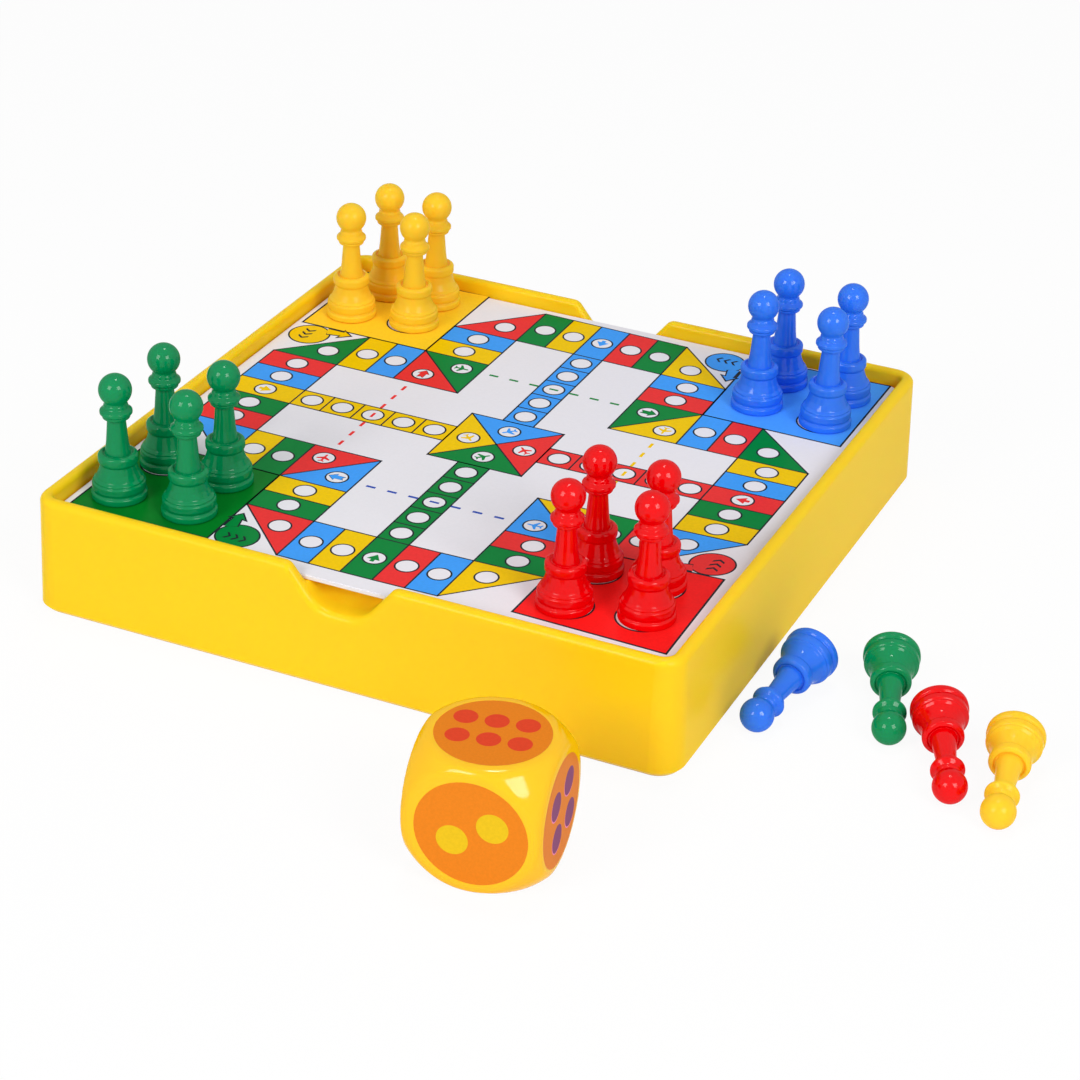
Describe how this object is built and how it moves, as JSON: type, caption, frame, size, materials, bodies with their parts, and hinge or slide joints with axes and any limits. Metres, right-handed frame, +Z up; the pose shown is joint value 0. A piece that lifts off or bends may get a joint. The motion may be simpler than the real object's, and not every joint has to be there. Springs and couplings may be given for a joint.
{
  "type": "ludo board box",
  "caption": "Square yellow plastic ludo box: an open tray with finger notches, a lift-out printed board carrying four colours of standing pawns, with loose pawns and a large die beside it.",
  "frame": {"origin": "centre of the tray's flat underside", "axes": "+X to the right along the notched front wall, +Y to the back wall, +Z up through the open top"},
  "size_m": [0.2183, 0.2059, 0.053],
  "materials": {
    "tray_plastic": "glossy injection-moulded yellow plastic",
    "board_plastic": "white moulded plastic",
    "printed_paper": "printed paper under a glossy film",
    "green_plastic": "glossy moulded green plastic",
    "yellow_plastic": "glossy moulded yellow plastic",
    "blue_plastic": "glossy moulded blue plastic",
    "red_plastic": "glossy moulded red plastic",
    "die_plastic": "glossy moulded yellow plastic",
    "label_paper": "orange printed label under a glossy film"
  },
  "bodies": {
    "tray_body": {"tray": "tray_plastic"},
    "board_body": {"board_plate": "board_plastic", "printed_sheet": "printed_paper"},
    "pawn_green_1_body": {"pawn_green_1": "green_plastic"},
    "pawn_green_2_body": {"pawn_green_2": "green_plastic"},
    "pawn_green_3_body": {"pawn_green_3": "green_plastic"},
    "pawn_green_4_body": {"pawn_green_4": "green_plastic"},
    "pawn_yellow_1_body": {"pawn_yellow_1": "yellow_plastic"},
    "pawn_yellow_2_body": {"pawn_yellow_2": "yellow_plastic"},
    "pawn_yellow_3_body": {"pawn_yellow_3": "yellow_plastic"},
    "pawn_yellow_4_body": {"pawn_yellow_4": "yellow_plastic"},
    "pawn_blue_1_body": {"pawn_blue_1": "blue_plastic"},
    "pawn_blue_2_body": {"pawn_blue_2": "blue_plastic"},
    "pawn_blue_3_body": {"pawn_blue_3": "blue_plastic"},
    "pawn_blue_4_body": {"pawn_blue_4": "blue_plastic"},
    "pawn_red_1_body": {"pawn_red_1": "red_plastic"},
    "pawn_red_2_body": {"pawn_red_2": "red_plastic"},
    "pawn_red_3_body": {"pawn_red_3": "red_plastic"},
    "pawn_red_4_body": {"pawn_red_4": "red_plastic"},
    "pawn_green_loose_body": {"pawn_green_loose": "green_plastic"},
    "pawn_yellow_loose_body": {"pawn_yellow_loose": "yellow_plastic"},
    "pawn_blue_loose_body": {"pawn_blue_loose": "blue_plastic"},
    "pawn_red_loose_body": {"pawn_red_loose": "red_plastic"},
    "die": {"die_body": "die_plastic", "die_label_one": "label_paper", "die_label_two": "label_paper", "die_label_three": "label_paper", "die_label_four": "label_paper", "die_label_five": "label_paper", "die_label_six": "label_paper"}
  },
  "joints": [
    {"name": "board_lift", "type": "slide", "parent": "tray_body", "child": "board_body", "axis": [0, 0, 1], "range_m": [0, 0.03]},
    {"name": "pawn_green_1_lift", "type": "slide", "parent": "board_body", "child": "pawn_green_1_body", "axis": [0, 0, 1], "range_m": [0, 0.04]},
    {"name": "pawn_green_2_lift", "type": "slide", "parent": "board_body", "child": "pawn_green_2_body", "axis": [0, 0, 1], "range_m": [0, 0.04]},
    {"name": "pawn_green_3_lift", "type": "slide", "parent": "board_body", "child": "pawn_green_3_body", "axis": [0, 0, 1], "range_m": [0, 0.04]},
    {"name": "pawn_green_4_lift", "type": "slide", "parent": "board_body", "child": "pawn_green_4_body", "axis": [0, 0, 1], "range_m": [0, 0.04]},
    {"name": "pawn_yellow_1_lift", "type": "slide", "parent": "board_body", "child": "pawn_yellow_1_body", "axis": [0, 0, 1], "range_m": [0, 0.04]},
    {"name": "pawn_yellow_2_lift", "type": "slide", "parent": "board_body", "child": "pawn_yellow_2_body", "axis": [0, 0, 1], "range_m": [0, 0.04]},
    {"name": "pawn_yellow_3_lift", "type": "slide", "parent": "board_body", "child": "pawn_yellow_3_body", "axis": [0, 0, 1], "range_m": [0, 0.04]},
    {"name": "pawn_yellow_4_lift", "type": "slide", "parent": "board_body", "child": "pawn_yellow_4_body", "axis": [0, 0, 1], "range_m": [0, 0.04]},
    {"name": "pawn_blue_1_lift", "type": "slide", "parent": "board_body", "child": "pawn_blue_1_body", "axis": [0, 0, 1], "range_m": [0, 0.04]},
    {"name": "pawn_blue_2_lift", "type": "slide", "parent": "board_body", "child": "pawn_blue_2_body", "axis": [0, 0, 1], "range_m": [0, 0.04]},
    {"name": "pawn_blue_3_lift", "type": "slide", "parent": "board_body", "child": "pawn_blue_3_body", "axis": [0, 0, 1], "range_m": [0, 0.04]},
    {"name": "pawn_blue_4_lift", "type": "slide", "parent": "board_body", "child": "pawn_blue_4_body", "axis": [0, 0, 1], "range_m": [0, 0.04]},
    {"name": "pawn_red_1_lift", "type": "slide", "parent": "board_body", "child": "pawn_red_1_body", "axis": [0, 0, 1], "range_m": [0, 0.04]},
    {"name": "pawn_red_2_lift", "type": "slide", "parent": "board_body", "child": "pawn_red_2_body", "axis": [0, 0, 1], "range_m": [0, 0.04]},
    {"name": "pawn_red_3_lift", "type": "slide", "parent": "board_body", "child": "pawn_red_3_body", "axis": [0, 0, 1], "range_m": [0, 0.04]},
    {"name": "pawn_red_4_lift", "type": "slide", "parent": "board_body", "child": "pawn_red_4_body", "axis": [0, 0, 1], "range_m": [0, 0.04]},
    {"name": "pawn_green_loose_lift", "type": "slide", "parent": "tray_body", "child": "pawn_green_loose_body", "axis": [0, 0, 1], "range_m": [0, 0.04]},
    {"name": "pawn_yellow_loose_lift", "type": "slide", "parent": "tray_body", "child": "pawn_yellow_loose_body", "axis": [0, 0, 1], "range_m": [0, 0.04]},
    {"name": "pawn_blue_loose_lift", "type": "slide", "parent": "tray_body", "child": "pawn_blue_loose_body", "axis": [0, 0, 1], "range_m": [0, 0.04]},
    {"name": "pawn_red_loose_lift", "type": "slide", "parent": "tray_body", "child": "pawn_red_loose_body", "axis": [0, 0, 1], "range_m": [0, 0.04]},
    {"name": "die_lift", "type": "slide", "parent": "tray_body", "child": "die", "axis": [0, 0, 1], "range_m": [0, 0.05]}
  ]
}
